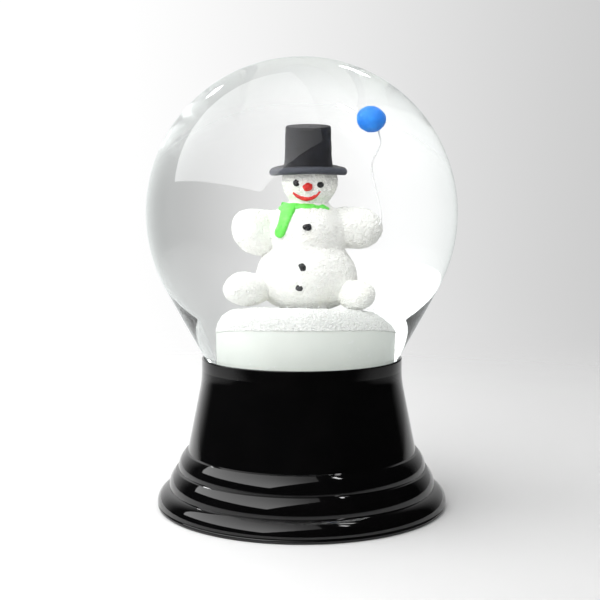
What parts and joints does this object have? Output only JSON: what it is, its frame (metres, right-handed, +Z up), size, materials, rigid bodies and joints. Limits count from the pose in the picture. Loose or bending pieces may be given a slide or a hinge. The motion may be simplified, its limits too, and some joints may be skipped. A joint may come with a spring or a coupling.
{
  "type": "snow globe",
  "caption": "Water-filled glass snow globe on a glossy black stepped base, holding a snowman in a top hat with a balloon on a wire.",
  "frame": {"origin": "centre of the base's underside, on the surface it stands on", "axes": "+Z up through the globe, -Y the way the snowman faces, +X to the right as seen from the front"},
  "size_m": [0.08, 0.08, 0.1156],
  "materials": {
    "base_black": "high-gloss black",
    "plaster_white": "set gypsum plaster, dry and chalky",
    "plate_black": "fine moulded texture",
    "pad_rubber": "cellular rubber, matt",
    "seal_rubber": "silicone, satin",
    "stopper_rubber": "moulded white rubber, satin",
    "globe_glass": "clear blown glass, faint blue-green at the thick neck",
    "clear_liquid": null,
    "drum_white": "smooth cast resin, pale grey-green in the liquid",
    "snow_white": "granular white snow",
    "flake_white": "thin white flakes, slightly satin",
    "snowman_white": "stippled white paint",
    "scarf_green": "bright green hand paint",
    "hat_charcoal": "charcoal hand paint, slightly chalky",
    "coal_black": "glossy black paint dots",
    "face_red": "red hand paint",
    "balloon_blue": "bright blue hand paint",
    "wire_grey": "thin springy coated wire, pale grey"
  },
  "bodies": {
    "globe_and_base": {"base_shell": "base_black", "plaster_fill": "plaster_white", "bottom_plate": "plate_black", "non_slip_pad": "pad_rubber", "collar_gasket": "seal_rubber", "glass_globe": "globe_glass", "rubber_stopper": "stopper_rubber", "liquid_fill": "clear_liquid", "plinth_drum": "drum_white", "snow_mound": "snow_white", "snow_flakes": "flake_white", "snowman_belly": "snowman_white", "snowman_torso": "snowman_white", "snowman_head": "snowman_white", "arm_left": "snowman_white", "arm_right": "snowman_white", "foot_left": "snowman_white", "foot_right": "snowman_white", "scarf_wrap": "scarf_green", "scarf_tail": "scarf_green", "hat_brim": "hat_charcoal", "hat_crown": "hat_charcoal", "eyes": "coal_black", "button_chest": "coal_black", "button_belly_upper": "coal_black", "button_belly_lower": "coal_black", "nose": "face_red", "mouth": "face_red"},
    "balloon_on_wire": {"balloon": "balloon_blue", "balloon_wire": "wire_grey"}
  },
  "joints": [
    {"name": "balloon_sway", "type": "hinge", "parent": "globe_and_base", "child": "balloon_on_wire", "pos_m": [0.0154, -0.0012, 0.0745], "axis": [0, 1, 0], "range_deg": [-10, 10], "stiffness_Nm_per_rad": 0.0004, "deforming": ["liquid_fill"]}
  ]
}
